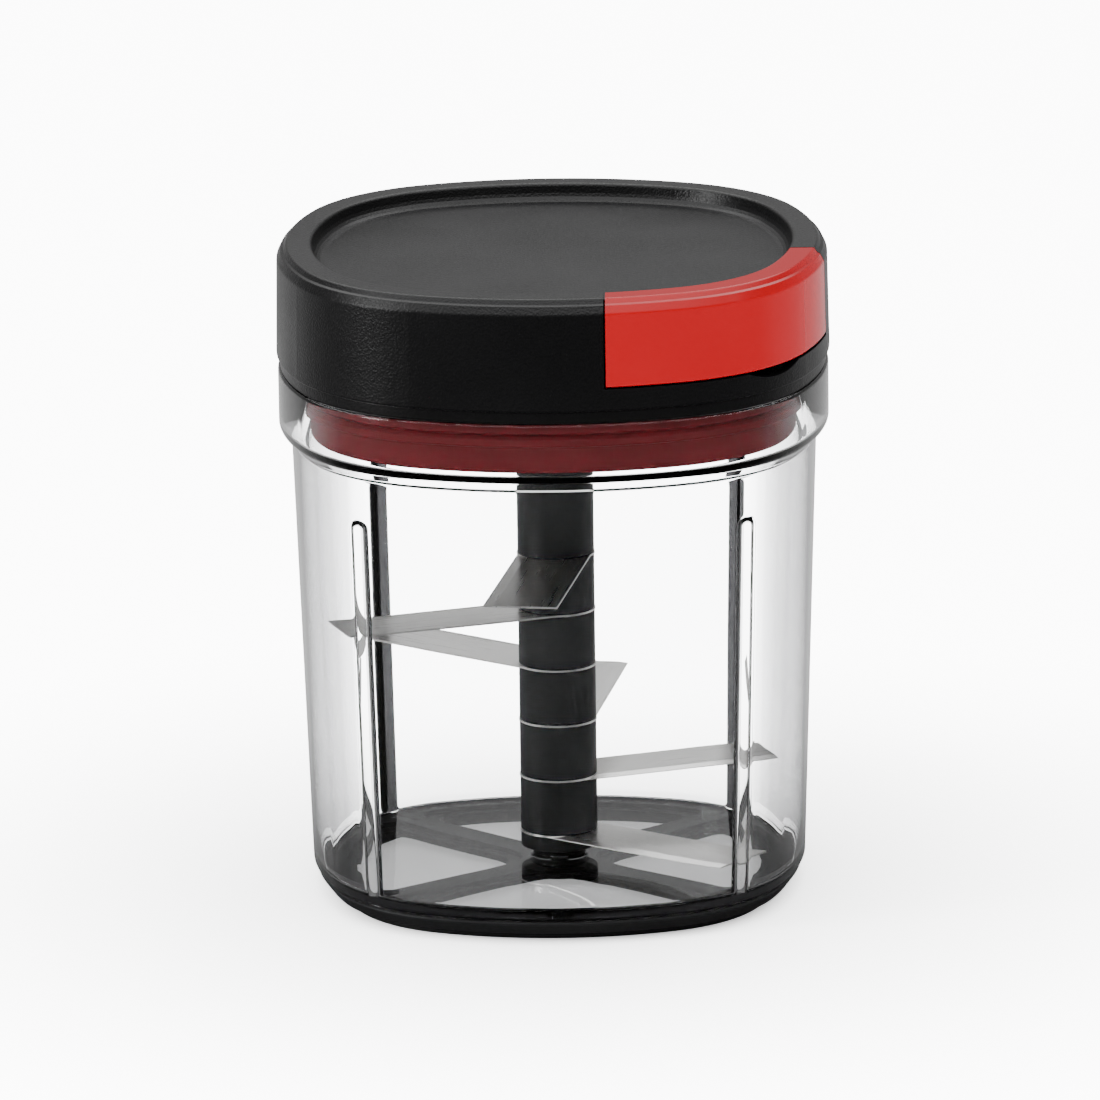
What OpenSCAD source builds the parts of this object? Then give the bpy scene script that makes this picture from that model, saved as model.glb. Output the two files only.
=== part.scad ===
// Pull-string food chopper: clear bowl with a six-level blade shaft, driven from the lid
// by a cord reel. Pulling the corner handle unwinds the cord and turns reel and blades.
// Millimetres, +Z up, origin on the blade axis at table level. The front is at -Y.

/* [Outline] */
// Width of the lid across two opposite sides
lid_w = 124; // [120:0.5:130]
// Distance between the centres of a side arc and of a corner arc: more is squarer
arc_spread = 44; // [36:1:52]

/* [Bowl] */
// Height of the bowl from its underside to its rim
bowl_h = 116.4; // [114.4:0.2:125]
// Thickness of the bowl wall
bowl_wall = 2.2; // [2.1:0.1:2.5]
// Thickness of the bowl floor
bowl_floor = 2.9; // [2.4:0.1:3.4]
// How far the collar lies inside the lid's width, on each side
collar_inset = 0.3; // [0.2:0.1:0.6]
// Height of the collar, from the rim down to the step
collar_h = 13.1; // [12.6:0.1:15]
// How far the wall steps in below the collar
collar_step = 2.8; // [2.4:0.1:3.2]
// How much higher the step lies inside than outside
step_rise = 1.2; // [0.6:0.1:1.4]
// How far the wall draws in from the step down to the floor
bowl_draft = 3.2; // [2:0.1:4]
// How far the underside is drawn in to sit in the mat
nest_inset = 2.5; // [2.3:0.1:2.8]
// Radius of the wall's lower outer edge
bowl_foot_r = 1.2; // [0.8:0.1:1.9]
// Radius of the corner between wall and floor, inside
bowl_floor_r = 1.6; // [1:0.2:5]
// Thickness of the four upright round ribs in the corners
rib_d = 4.2; // [3.6:0.1:4.4]
// How far the middle of a rib stands in from the wall
rib_in = 0.1; // [0:0.1:0.6]
// Height of the ribs above the bowl floor
rib_h = 87.5; // [60:0.1:90]

/* [Pivot pin] */
// Diameter of the steel pin that the blade shaft turns on
pin_d = 4.5; // [4:0.1:5]
// Height of the pin above the bowl floor
pin_h = 16; // [12:0.5:22]
// Diameter of the boss on the floor that holds the pin
pin_boss_d = 12; // [9:0.2:14]
// Height of that boss above the floor
pin_boss_h = 2; // [1.4:0.1:2.6]

/* [Base mat] */
// Height of the non-slip mat's rim
mat_h = 5.2; // [5:0.1:5.6]
// Height of the top of the mat's plate, on which the bowl stands
mat_plate = 4.3; // [4:0.1:4.4]
// Thickness of that plate
mat_plate_t = 2.6; // [2.2:0.1:3]
// How far the mat's rim lies inside the bowl's wall, on each side
mat_inset = 0.3; // [0.1:0.1:0.6]
// How far the mat's side draws in from its rim to its lower edge
mat_flare = 2.4; // [1:0.1:3]
// Height of the foot ring below that edge
mat_foot_h = 2; // [1.8:0.1:2.4]
// How far the foot ring is drawn in from the lower edge
mat_foot_inset = 2.8; // [1.5:0.1:3]
// Width of the foot ring
mat_foot_w = 3.4; // [2.6:0.1:4]
// Diameter of the round foot in the middle
mat_pad_d = 12; // [8:0.5:14]
// Width of the diagonal spokes between the windows
spoke_w = 11.6; // [10:0.2:14]
// Distance from the outer edge of a window to the foot ring
window_margin = 0.4; // [0.3:0.1:3]
// Width of the ledge round each window
window_ledge = 2.4; // [1.5:0.1:3]
// Depth of that ledge below the mat's top
window_ledge_depth = 1.2; // [0.8:0.1:1.6]

/* [Lid] */
// Height of the visible band of the lid base
band_h = 2.9; // [2.6:0.1:4]
// How far the band lies inside the lid's width, on each side
band_inset = 0.8; // [0.5:0.1:1.5]
// Height of the lid cover
cover_h = 24.9; // [24.6:0.1:30]
// Thickness of the cover's wall and tray
cover_wall = 2.2; // [1.8:0.1:2.4]
// How far the cover's side leans in towards its shoulder
cover_draft = 0.4; // [0.3:0.1:0.6]
// Width of the rim from the cover's outside to the tray
rim_w = 8.2; // [7.6:0.1:9]
// Drop from the rim to the shoulder of the side wall
shoulder_drop = 3.2; // [2.6:0.1:3.6]
// Depth of the tray below the rim
tray_depth = 4; // [3:0.1:5]
// Depth of the lid base's plug skirt below the bowl rim
skirt_h = 10.8; // [9:0.1:11.4]
// Thickness of the plug skirt
skirt_wall = 2; // [1.6:0.1:2.4]
// Distance of the lid screws from the lid's outside
screw_in = 16; // [15:0.5:19]
// Diameter of the lid screws
screw_d = 3; // [2.6:0.1:3.5]

/* [Seal] */
// Thickness of the silicone band on the skirt
seal_t = 2.4; // [2:0.1:2.6]
// How far the two sealing lips stand out from the band
seal_lip = 2.2; // [1.5:0.1:2.3]
// Height of the smooth band below the lips
seal_band_h = 6.1; // [5:0.1:7]

/* [Handle] */
// Distance of both cut ends of the handle from the middle of their sides
handle_end = 12.4; // [10:0.2:18]
// Height of the handle's lower edge above the cover's lower edge
handle_lift = 5.3; // [4.6:0.1:8]
// Thickness of the handle's walls
handle_wall = 2.6; // [2.2:0.1:3]
// Gap between the handle and its pocket
handle_gap = 0.4; // [0.3:0.05:0.6]
// Width of the finger scoop under the handle
scoop_w = 18; // [12:0.5:20]
// Depth of the finger scoop
scoop_depth = 1.8; // [1.2:0.1:2.4]
// Direction of the finger scoop, counted from +X
scoop_turn = -40; // [-45:1:-36]

/* [Reel and cord] */
// Diameter of the pull cord
cord_d = 2; // [1.6:0.1:2.2]
// Turns of cord on the reel
cord_turns = 4; // [3:0.25:4]
// Gap between neighbouring turns
cord_space = 0.5; // [0.45:0.01:0.6]
// Diameter of the reel's drum
drum_d = 37.4; // [34:0.2:42]
// Thickness of the reel's flanges
flange_t = 1.2; // [1:0.1:1.6]
// How far the flanges reach past the cord
flange_reach = 3; // [2:0.2:5]
// Thickness of the drum's wall
drum_wall = 2; // [1.6:0.1:2.6]
// Diameter of the steel reel axle
axle_d = 4; // [3.6:0.1:4.4]
// Diameter of the fixed arbor that holds the spring's inner end
arbor_d = 10; // [9:0.2:12]
// Thickness of the power spring's strip
spring_t = 0.4; // [0.3:0.05:0.6]
// Height of the power spring's strip
spring_h = 7.4; // [6:0.2:7.6]
// Turns of the power spring
spring_turns = 5; // [4:1:6]
// Thickness of the cover disc over the spring
spring_cover_t = 1; // [0.8:0.1:1.2]
// Thickness of the washer under the reel
washer_t = 0.8; // [0.6:0.1:1]

/* [Blades] */
// Levels of blades on the shaft
blade_count = 6; // [3:1:6]
// Distance between neighbouring blade levels
blade_pitch = 12.8; // [11:0.2:13.2]
// Gap between the blades' tips and the bowl wall
blade_clear = 1.5; // [1.2:0.1:6]
// Width of a blade
blade_w = 16.5; // [12:0.5:17]
// Thickness of a blade
blade_t = 0.4; // [0.4:0.1:0.9]
// Width of the ground edge
bevel_w = 2.5; // [1.5:0.1:4]
// Turn from one blade to the next one up
blade_step = 60; // [30:5:60]
// Direction of the lowest blade, counted from +X
blade_start = -38; // [-60:1:60]
// Diameter of the blade shaft
shaft_d = 17.2; // [15.5:0.1:18]
// How far a blade's hub stands out from the shaft
hub_proud = 0.15; // [0.1:0.05:0.5]
// Thickness of the shaft's foot under the lowest blade
foot_t = 3.45; // [3:0.05:4]
// Width across the flats of the six-sided shaft core
core_af = 9; // [8:0.1:9.6]

/* [Fits] */
// Radial clearance of a turning pin in its bore
run_gap = 0.05; // [0.03:0.01:0.08]
// Clearance between pieces that are put together by hand
slip_gap = 0.1; // [0.05:0.01:0.2]
// Clearance between pieces that move past each other
clear_gap = 0.35; // [0.3:0.05:0.5]

/* [Hidden] */
$fn = 72;

black = [0.06, 0.06, 0.065];
red = [0.85, 0.08, 0.08];
dark_red = [0.5, 0.09, 0.1];
steel = [0.75, 0.76, 0.78];
white = [0.88, 0.88, 0.86];

// The soft square is four side arcs and four corner arcs. The seam between two arcs lies on the
// line through their centres, whose direction is that of the 44-117-125 triangle.
seam_sin = 0.352;
seam_cos = 0.936;
function side_back(spread) = (seam_cos - seam_sin) * spread;
function corner_in(spread) = seam_sin * spread;
// How much further the outline reaches on the diagonal than on a side
diagonal_gain = corner_in(arc_spread) * sqrt(2) + side_back(arc_spread) - arc_spread;
wedge_l = 2 * lid_w;
tall = 400;
// Half width at which the swept rings end and the middle plates take over
plate_in = 30;
plate_lap = 8;
fillet_steps = 4;

// Heights
bowl_low = mat_plate;
floor_top = bowl_low + bowl_floor;
rim_z = bowl_low + bowl_h;
part_z = rim_z + band_h;
top_z = part_z + cover_h;
step_z = rim_z - collar_h;

// Half widths
lid_a = lid_w / 2;
collar_a = lid_a - collar_inset;
collar_in_a = collar_a - bowl_wall;
wall_top_a = collar_a - collar_step;
wall_low_a = wall_top_a - bowl_draft;
wall_low_z = mat_h + clear_gap;
nest_a = wall_low_a - nest_inset;
wall_top_z = step_z - collar_step;
wall_lean = atan(bowl_draft / (wall_top_z - wall_low_z));
seal_lip_a = collar_in_a - clear_gap;
seal_a = seal_lip_a - seal_lip;
skirt_a = seal_a - seal_t;
skirt_low_z = rim_z - skirt_h;
mat_a = wall_low_a - mat_inset;
mat_low_a = mat_a - mat_flare;
mat_foot_a = mat_low_a - mat_foot_inset;
window_out = mat_foot_a - mat_foot_w - window_margin;

// Lid cover
shoulder_z = top_z - shoulder_drop;
rim_a = lid_a - rim_w;
tray_z = top_z - tray_depth;
tray_under_z = tray_z - cover_wall;
edge_in = [0.9, 1.5, 2.2];
edge_down = [1.4, 1.1];
tray_lean = 0.9;
screw_boss_wall = 2;
boss_r = screw_d / 2 + screw_boss_wall;
screw_r = lid_a - screw_in;
screw_head_d = 2 * screw_d;
screw_head_h = 1.5;
screw_bite = 9;
tongue_t = 1.7;
tongue_h = 1.8;

// Handle pocket in the front right corner
shelf_z = part_z + handle_lift - handle_gap;
handle_z = part_z + handle_lift;
handle_in_a = rim_a;
pocket_in_a = handle_in_a - handle_gap;
pocket_wall_a = pocket_in_a - cover_wall;
scoop_r = (scoop_w * scoop_w / 4 + scoop_depth * scoop_depth) / (2 * scoop_depth);
pull_turn = -45;

// Reel stack, from the lid base upwards
reel_z = part_z + washer_t + slip_gap;
cord_low_z = reel_z + flange_t + cord_d / 2 + clear_gap;
cord_pitch = cord_d + cord_space;
cord_z = cord_low_z + cord_turns * cord_pitch;
drum_top_z = cord_z + cord_d / 2 + clear_gap;
reel_top_z = drum_top_z + flange_t;
drum_r = drum_d / 2;
wind_r = drum_r + cord_d / 2 + clear_gap;
flange_r = wind_r + cord_d / 2 + flange_reach;
chamber_r = drum_r - drum_wall;
chamber_floor = 2;
chamber_z = reel_z + flange_t + chamber_floor;
spring_cover_r = chamber_r + drum_wall / 2;
spring_cover_z = drum_top_z - spring_cover_t;
arbor_low_z = chamber_z + clear_gap;
spring_z = chamber_z + clear_gap;
axle_reach = 0.8;
axle_low_z = rim_z + axle_reach;
axle_skin = 2;
axle_top_z = tray_under_z - axle_skin;

// Cord path from the drum to the eyelet on the pocket wall
eyelet_play = 0.4;
eyelet_wall = 1;
eyelet_flange_w = 1;
eyelet_flange_t = 1.2;
eyelet_bore = cord_d + 2 * eyelet_play;
eyelet_d = eyelet_bore + 2 * eyelet_wall;
eyelet_flange_d = eyelet_d + 2 * eyelet_flange_w;
eyelet_ease = 0.3;
eyelet_out = pocket_in_a + diagonal_gain;
eyelet_in = pocket_wall_a + diagonal_gain - eyelet_flange_t;
bend_l = 3;
bend_end_gap = 0.2;
bend_r = eyelet_in - bend_l - bend_end_gap;
bend_at = bend_r * [cos(pull_turn), sin(pull_turn)];
leave_turn = pull_turn + acos(wind_r / bend_r);
leave_at = wind_r * [cos(leave_turn), sin(leave_turn)];
leave_dir = (bend_at - leave_at) / norm(bend_at - leave_at);
pull_dir = [cos(pull_turn), sin(pull_turn)];
run_sides = 8;
wind_sides = 6;
wind_rings = 24;

// Handle's cord boss, counted along the pull direction
boss_out = lid_a - handle_wall + diagonal_gain;
boss_in = handle_in_a + clear_gap + diagonal_gain;
knot_l = 3;
cord_boss_wall = 3.2;
boss_d = cord_d + 2 * cord_boss_wall;
ferrule_d = 2 * cord_d - 0.2;

// Blade shaft
foot_z = floor_top + pin_boss_h + clear_gap;
stack_z = foot_z + foot_t;
shaft_r = shaft_d / 2;
blade_l = wall_low_a - bowl_wall - blade_clear;
tube_z = stack_z + (blade_count - 1) * blade_pitch + blade_t;
socket_hang = 1.4;
socket_low_z = skirt_low_z - socket_hang;
tube_top_z = socket_low_z - clear_gap;
core_short = 1.2;
core_top_z = rim_z - core_short;
core_r = core_af / sqrt(3);
key_gap = 0.15;
neck_wall = 1.3;
socket_neck_r = core_r + neck_wall;
edge_t = 0.15;
pin_skin = 1;
pin_low_z = bowl_low + pin_skin;
pin_tip_z = floor_top + pin_h;

// Shapes

// Rounds a number to a thousandth, so that neighbouring arcs meet exactly
function fine(v) = round(v * 1000) / 1000;

function unit(v) = v / norm(v);

// Arc of radius r that replaces the corner b of the path a, b, c
function corner_arc(a, b, c, r, steps) =
    let (u = unit(a - b), v = unit(c - b))
    let (half = acos(u * v) / 2)
    let (centre = b + unit(u + v) * r / sin(half))
    let (from = b + u * r / tan(half) - centre, to = b + v * r / tan(half) - centre)
    let (start = atan2(from.y, from.x), sweep = atan2(to.y, to.x) - start)
    let (turn = sweep > 180 ? sweep - 360 : sweep < -180 ? sweep + 360 : sweep)
    [for (i = [0:steps]) centre + r * [cos(start + turn * i / steps), sin(start + turn * i / steps)]];

// Closed path from corners [x, y, radius], each rounded by its radius
function softened(corners, steps = fillet_steps) =
    let (n = len(corners), flat = [for (p = corners) [p.x, p.y]])
    [for (i = [0:n - 1])
        each corners[i].z == 0
            ? [flat[i]]
            : corner_arc(flat[(i + n - 1) % n], flat[i], flat[(i + 1) % n], corners[i].z, steps)];

// Sweeps a profile of [half width, height] points round the soft square
module around(points, quarters = [0, 1, 2, 3], spread = arc_spread) {
    profile = [for (p = points) [fine(p.x), fine(p.y)]];
    back = side_back(spread);
    corner = corner_in(spread);
    for (q = quarters) {
        rotate(90 * q) {
            intersection() {
                translate([-back, 0, 0])
                    rotate_extrude(angle = 60, start = -30)
                        polygon([for (p = profile) [p.x + back, p.y]]);
                translate([-back, 0, -tall / 2])
                    linear_extrude(tall)
                        polygon([[0, 0], wedge_l * [seam_cos, -seam_sin], wedge_l * [seam_cos, seam_sin]]);
            }
            intersection() {
                translate([corner, corner, 0])
                    rotate_extrude(angle = 60, start = 15)
                        polygon([for (p = profile) [p.x + back - spread, p.y]]);
                translate([corner, corner, -tall / 2])
                    linear_extrude(tall)
                        polygon([[0, 0], wedge_l * [seam_cos, seam_sin], wedge_l * [seam_sin, seam_cos]]);
            }
        }
    }
}

// Flat middle of a plate, lapping the swept ring around it
module plate_middle(low, high) {
    r = plate_in + plate_lap + side_back(arc_spread);
    seams = [r * seam_cos - side_back(arc_spread), r * seam_sin];
    translate([0, 0, low])
        linear_extrude(high - low)
            polygon([for (q = [0:3], s = [-1, 1])
                let (x = fine(seams.x), y = s * fine(seams.y))
                q == 0 ? [x, y] : q == 1 ? [-y, x] : q == 2 ? [-x, -y] : [y, -x]]);
}

// Everything in the front right corner past two cuts, square to the front and to the right side
module front_right(cut) {
    translate([cut, -cut - wedge_l, -tall / 2])
        cube([wedge_l, wedge_l, tall]);
}

// Lays a shape that points along +X out along the pull direction, at cord height
module along_pull(distance) {
    rotate(pull_turn)
        translate([distance, 0, cord_z])
            rotate([0, 90, 0])
                children();
}

module six_sided(across_flats, h) {
    cylinder(r = across_flats / sqrt(3), h = h, $fn = 6);
}

// Half width of the cover's side at a height
function cover_side(z) = lid_a - cover_draft * (z - part_z) / (shoulder_z - part_z);

// Outer edge of the lid, from a height on its side up over the shoulder to the rim
function lid_edge(low, low_r) = [
    [cover_side(low), low, low_r],
    [cover_side(shoulder_z), shoulder_z, 1.5],
    [cover_side(shoulder_z) - edge_in[0], top_z - edge_down[0], 0.2],
    [cover_side(shoulder_z) - edge_in[1], top_z - edge_down[1], 0.2],
    [cover_side(shoulder_z) - edge_in[2], top_z, 0.6],
];

// A tube of round section along points, with flat ends square to the path
module tube(path, d, sides) {
    n = len(path);
    dirs = [for (i = [0:n - 1]) unit(path[min(i + 1, n - 1)] - path[max(i - 1, 0)])];
    rings = [for (i = [0:n - 1])
        let (u = unit(cross(dirs[i], [0, 0, 1])), v = cross(u, dirs[i]))
        [for (s = [0:sides - 1]) path[i] + d / 2 * (cos(360 * s / sides) * u + sin(360 * s / sides) * v)]];
    polyhedron(
        points = [for (r = rings) each r],
        faces = concat(
            [[for (s = [0:sides - 1]) s]],
            [for (i = [0:n - 2], s = [0:sides - 1])
                let (a = i * sides + s, b = i * sides + (s + 1) % sides)
                each [[a, a + sides, b], [b, a + sides, b + sides]]],
            [[for (s = [sides - 1:-1:0]) (n - 1) * sides + s]]
        )
    );
}

// Bowl: a clear moulding with a collar for the lid and an upright rib in each corner

module bowl_rib() {
    foot_r = wall_low_a - bowl_wall + diagonal_gain - rib_in;
    rib_l = (floor_top + rib_h - wall_low_z) / cos(wall_lean) - rib_d / 2;
    rotate(45)
        translate([foot_r, 0, wall_low_z])
            rotate([0, wall_lean, 0]) {
                cylinder(d = rib_d, h = rib_l);
                translate([0, 0, rib_l])
                    sphere(d = rib_d);
            }
}

module bowl() {
    color([0.85, 0.9, 0.92, 0.35])
        difference() {
            union() {
                around(softened([
                    [plate_in, bowl_low, 0],
                    [nest_a, bowl_low, 0.5],
                    [nest_a, wall_low_z, 0.3],
                    [wall_low_a, wall_low_z, bowl_foot_r],
                    [wall_top_a, wall_top_z, 1.2],
                    [collar_a, step_z, 1.6],
                    [collar_a, rim_z, 0.8],
                    [collar_in_a, rim_z, 0.8],
                    [collar_in_a, step_z + step_rise, 1],
                    [wall_top_a - bowl_wall, wall_top_z + step_rise, 1.2],
                    [wall_low_a - bowl_wall, floor_top, bowl_floor_r],
                    [plate_in, floor_top, 0],
                ]));
                plate_middle(bowl_low, floor_top);
                for (q = [0:3]) rotate(90 * q) bowl_rib();
                translate([0, 0, floor_top - bowl_floor / 2])
                    cylinder(d = pin_boss_d, h = pin_boss_h + bowl_floor / 2);
            }
            translate([0, 0, pin_low_z])
                cylinder(d = pin_d, h = tall);
        }
}

// Pivot pin: ground steel with a domed tip, pressed into the boss on the floor
module pivot_pin() {
    color(steel)
        translate([0, 0, pin_low_z])
            rotate_extrude()
                polygon(softened([
                    [0, 0, 0],
                    [pin_d / 2, 0, 0],
                    [pin_d / 2, pin_tip_z - pin_low_z, 1],
                    [0, pin_tip_z - pin_low_z, 0],
                ]));
}

// Base mat: black non-slip moulding with four windows between diagonal spokes

// Outline of one window, its edge moved out by grow
function window_points(grow) =
    let (apex = spoke_w / sqrt(2) - grow * sqrt(2), out = window_out + grow)
    let (back = side_back(arc_spread), b = apex + back, far = out + back)
    let (side = (sqrt(2 * far * far - b * b) - b) / 2)
    let (half = asin(side / far), chords = 6)
    concat(
        [[0, -apex, 8]],
        [for (i = [0:chords])
            let (t = half - 2 * half * i / chords)
            [far * sin(t), back - far * cos(t), i == 0 || i == chords ? 4 : 0]]
    );

module base_mat() {
    under = mat_plate - mat_plate_t;
    seat_a = nest_a + slip_gap;
    color(black)
        difference() {
            union() {
                around(softened([
                    [plate_in, under, 0],
                    [mat_foot_a - mat_foot_w, under, 0],
                    [mat_foot_a - mat_foot_w, 0, 0.4],
                    [mat_foot_a, 0, 0.4],
                    [mat_foot_a, mat_foot_h, 0],
                    [mat_low_a, mat_foot_h, 0.4],
                    [mat_a, mat_h, 0.5],
                    [seat_a, mat_h, 0.2],
                    [seat_a, mat_plate, 0],
                    [plate_in, mat_plate, 0],
                ]));
                plate_middle(under, mat_plate);
                cylinder(d = mat_pad_d, h = mat_plate);
            }
            for (q = [0:3]) {
                rotate(90 * q) {
                    translate([0, 0, -mat_h])
                        linear_extrude(3 * mat_h)
                            polygon(softened(window_points(0)));
                    translate([0, 0, mat_plate - window_ledge_depth])
                        linear_extrude(mat_h)
                            polygon(softened(window_points(window_ledge)));
                }
            }
        }
}

// Lid cover: black shell with a dished top, bosses, the spring's arbor and the handle pocket
module lid_cover() {
    color(black)
        difference() {
            union() {
                around(softened(concat(
                    lid_edge(part_z, 0.4),
                    [
                        [rim_a, top_z, 0.8],
                        [rim_a - tray_lean, tray_z, 2.4],
                        [plate_in, tray_z, 0],
                        [plate_in, tray_under_z, 0],
                        [rim_a + cover_wall - tray_lean, tray_under_z, 0.8],
                        [rim_a + cover_wall, top_z - cover_wall - 0.4, 0.6],
                        [lid_a - cover_draft - cover_wall, shoulder_z - cover_wall + 0.4, 0.6],
                        [lid_a - cover_wall, part_z, 0],
                    ]
                )));
                plate_middle(tray_under_z, tray_z);
                intersection() {
                    around([
                        [pocket_wall_a, part_z],
                        [lid_a - cover_wall / 2, part_z],
                        [lid_a - cover_wall / 2, shelf_z],
                        [pocket_in_a + cover_wall, tray_under_z + cover_wall / 2],
                        [pocket_wall_a, tray_under_z + cover_wall / 2],
                    ], [0, 3]);
                    front_right(handle_end - handle_gap - cover_wall);
                }
                intersection() {
                    around([
                        [pocket_wall_a, part_z],
                        [lid_a - cover_wall / 2, part_z],
                        [lid_a - cover_wall / 2, shoulder_z - cover_wall / 2],
                        [rim_a + cover_wall, shoulder_z - cover_wall / 2],
                        [rim_a, tray_under_z + cover_wall / 2],
                        [pocket_wall_a, tray_under_z + cover_wall / 2],
                    ], [0, 3]);
                    difference() {
                        front_right(handle_end - handle_gap - cover_wall);
                        front_right(handle_end - handle_gap - 0.01);
                    }
                }
                for (q = [0:3]) {
                    rotate(90 * q)
                        translate([screw_r, 0, part_z])
                            cylinder(r = boss_r, h = tray_under_z - part_z + cover_wall / 2);
                }
                translate([0, 0, arbor_low_z])
                    cylinder(d = arbor_d, h = tray_under_z - arbor_low_z + cover_wall / 2);
            }
            intersection() {
                around([
                    [pocket_in_a, shelf_z],
                    [lid_a + rim_w, shelf_z],
                    [lid_a + rim_w, top_z + rim_w],
                    [pocket_in_a, top_z + rim_w],
                ], [0, 3]);
                front_right(handle_end - handle_gap);
            }
            rotate(scoop_turn)
                translate([pocket_in_a + diagonal_gain + 2, 0, shelf_z + scoop_r - scoop_depth])
                    rotate([0, 90, 0])
                        cylinder(r = scoop_r, h = lid_w);
            along_pull(0)
                cylinder(d = eyelet_d, h = eyelet_out + 1);
            for (q = [0:3]) {
                rotate(90 * q)
                    translate([screw_r, 0, part_z - 1])
                        cylinder(d = screw_d, h = screw_bite + 1);
            }
            translate([0, 0, arbor_low_z - 1])
                cylinder(d = axle_d, h = axle_top_z - arbor_low_z + 1);
            translate([0, -spring_t, arbor_low_z - 1])
                cube([arbor_d, 2 * spring_t, spring_h + 2]);
        }
}

// Lid base: black plate with a tongue inside the cover, a plug skirt and the reel's bearing
module lid_base() {
    tongue_a = lid_a - cover_wall - slip_gap;
    color(black)
        difference() {
            union() {
                around(softened([
                    [plate_in, part_z, 0],
                    [tongue_a - tongue_t, part_z, 0],
                    [tongue_a - tongue_t, part_z + tongue_h, 0],
                    [tongue_a, part_z + tongue_h, 0.4],
                    [tongue_a, part_z, 0],
                    [lid_a - band_inset, part_z, 0.3],
                    [lid_a - band_inset, rim_z, 0.5],
                    [skirt_a, rim_z, 0],
                    [skirt_a, skirt_low_z, 0.4],
                    [skirt_a - skirt_wall, skirt_low_z, 0.4],
                    [skirt_a - skirt_wall, rim_z, 0.8],
                    [plate_in, rim_z, 0],
                ]));
                plate_middle(rim_z, part_z);
            }
            intersection() {
                translate([0, 0, part_z])
                    linear_extrude(tall)
                        square(wedge_l, center = true);
                front_right(handle_end - handle_gap - cover_wall - slip_gap);
            }
            translate([0, 0, rim_z - 1])
                cylinder(r = socket_neck_r + run_gap, h = band_h + 2);
            for (q = [0:3]) {
                rotate(90 * q)
                    translate([screw_r, 0, rim_z - 1]) {
                        cylinder(d = screw_d + 2 * slip_gap, h = band_h + 2);
                        cylinder(d = screw_head_d + 2 * slip_gap, h = screw_head_h + 1);
                    }
            }
        }
}

// Seal ring: red silicone band hooked under the skirt, with two lips against the collar
module seal_ring() {
    low = skirt_low_z - 1.2;
    top = rim_z - 0.3;
    lip_z = low + seal_band_h;
    lip_pitch = (top - lip_z) / 2;
    fit = 0.05;
    color(dark_red)
        around(softened([
            [skirt_a - skirt_wall, low, 0.6],
            [seal_a, low, 0.8],
            [seal_a, lip_z, 0],
            [seal_lip_a, lip_z + 0.3, 0.5],
            [seal_lip_a, lip_z + lip_pitch - 0.8, 0.5],
            [seal_lip_a - 0.8, lip_z + lip_pitch, 0],
            [seal_lip_a, lip_z + lip_pitch + 0.6, 0.5],
            [seal_lip_a - 0.6, top, 0.5],
            [skirt_a + fit, top, 0],
            [skirt_a + fit, skirt_low_z - fit, 0],
            [skirt_a - skirt_wall, skirt_low_z - fit, 0],
        ], 3));
}

// Four self-tapping screws that hold the lid base to the cover's bosses
module lid_screws() {
    shank_l = band_h - screw_head_h + screw_bite - 1;
    color(steel)
        for (q = [0:3]) {
            rotate(90 * q)
                translate([screw_r, 0, rim_z])
                    difference() {
                        rotate_extrude()
                            polygon([
                                [0, 0],
                                [screw_head_d / 2 - 0.4, 0],
                                [screw_head_d / 2, 0.4],
                                [screw_head_d / 2, screw_head_h],
                                [screw_d / 2, screw_head_h],
                                [screw_d / 2, screw_head_h + shank_l - 1],
                                [0, screw_head_h + shank_l],
                            ]);
                        for (turn = [0, 90]) {
                            rotate(turn)
                                translate([-screw_d / 2, -screw_d / 8, -1])
                                    cube([screw_d, screw_d / 4, 1.8]);
                        }
                    }
        }
}

// Eyelet: flanged bush that leads the cord through the pocket wall
module cord_eyelet() {
    color(steel)
        along_pull(eyelet_in)
            difference() {
                rotate_extrude()
                    polygon(softened([
                        [0, 0, 0],
                        [eyelet_flange_d / 2, 0, 0.3],
                        [eyelet_flange_d / 2, eyelet_flange_t - eyelet_ease, 0],
                        [eyelet_d / 2, eyelet_flange_t - eyelet_ease, 0],
                        [eyelet_d / 2, eyelet_out - eyelet_in, 0],
                        [0, eyelet_out - eyelet_in, 0],
                    ]));
                translate([0, 0, -1])
                    cylinder(d = eyelet_bore, h = eyelet_out - eyelet_in + 2);
            }
}

// Reel axle: steel pin pressed into the arbor, on which the reel turns
module reel_axle() {
    color(steel)
        translate([0, 0, axle_low_z])
            cylinder(d = axle_d, h = axle_top_z - axle_low_z);
}

// Thrust washer between the reel and the lid base
module reel_washer() {
    color(steel)
        translate([0, 0, part_z])
            difference() {
                cylinder(r = drum_r - drum_wall, h = washer_t);
                translate([0, 0, -1])
                    cylinder(r = socket_neck_r + clear_gap, h = washer_t + 2);
            }
}

// Power spring: flat steel strip, its inner end in the arbor's slot and its outer end at the drum
module power_spring() {
    inner = arbor_d / 2 + clear_gap;
    outer = chamber_r - clear_gap - spring_t;
    tab = axle_d / 2 + clear_gap;
    steps = 24 * spring_turns;
    radii = [for (i = [0:steps]) inner + (outer - inner) * i / steps];
    color(steel)
        translate([0, 0, spring_z])
            linear_extrude(spring_h)
                polygon(concat(
                    [[tab, 0]],
                    [for (i = [0:steps]) (radii[i] + spring_t) * [cos(15 * i), sin(15 * i)]],
                    [for (i = [steps:-1:1]) radii[i] * [cos(15 * i), sin(15 * i)]],
                    [[inner, spring_t], [tab, spring_t]]
                ));
}

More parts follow.
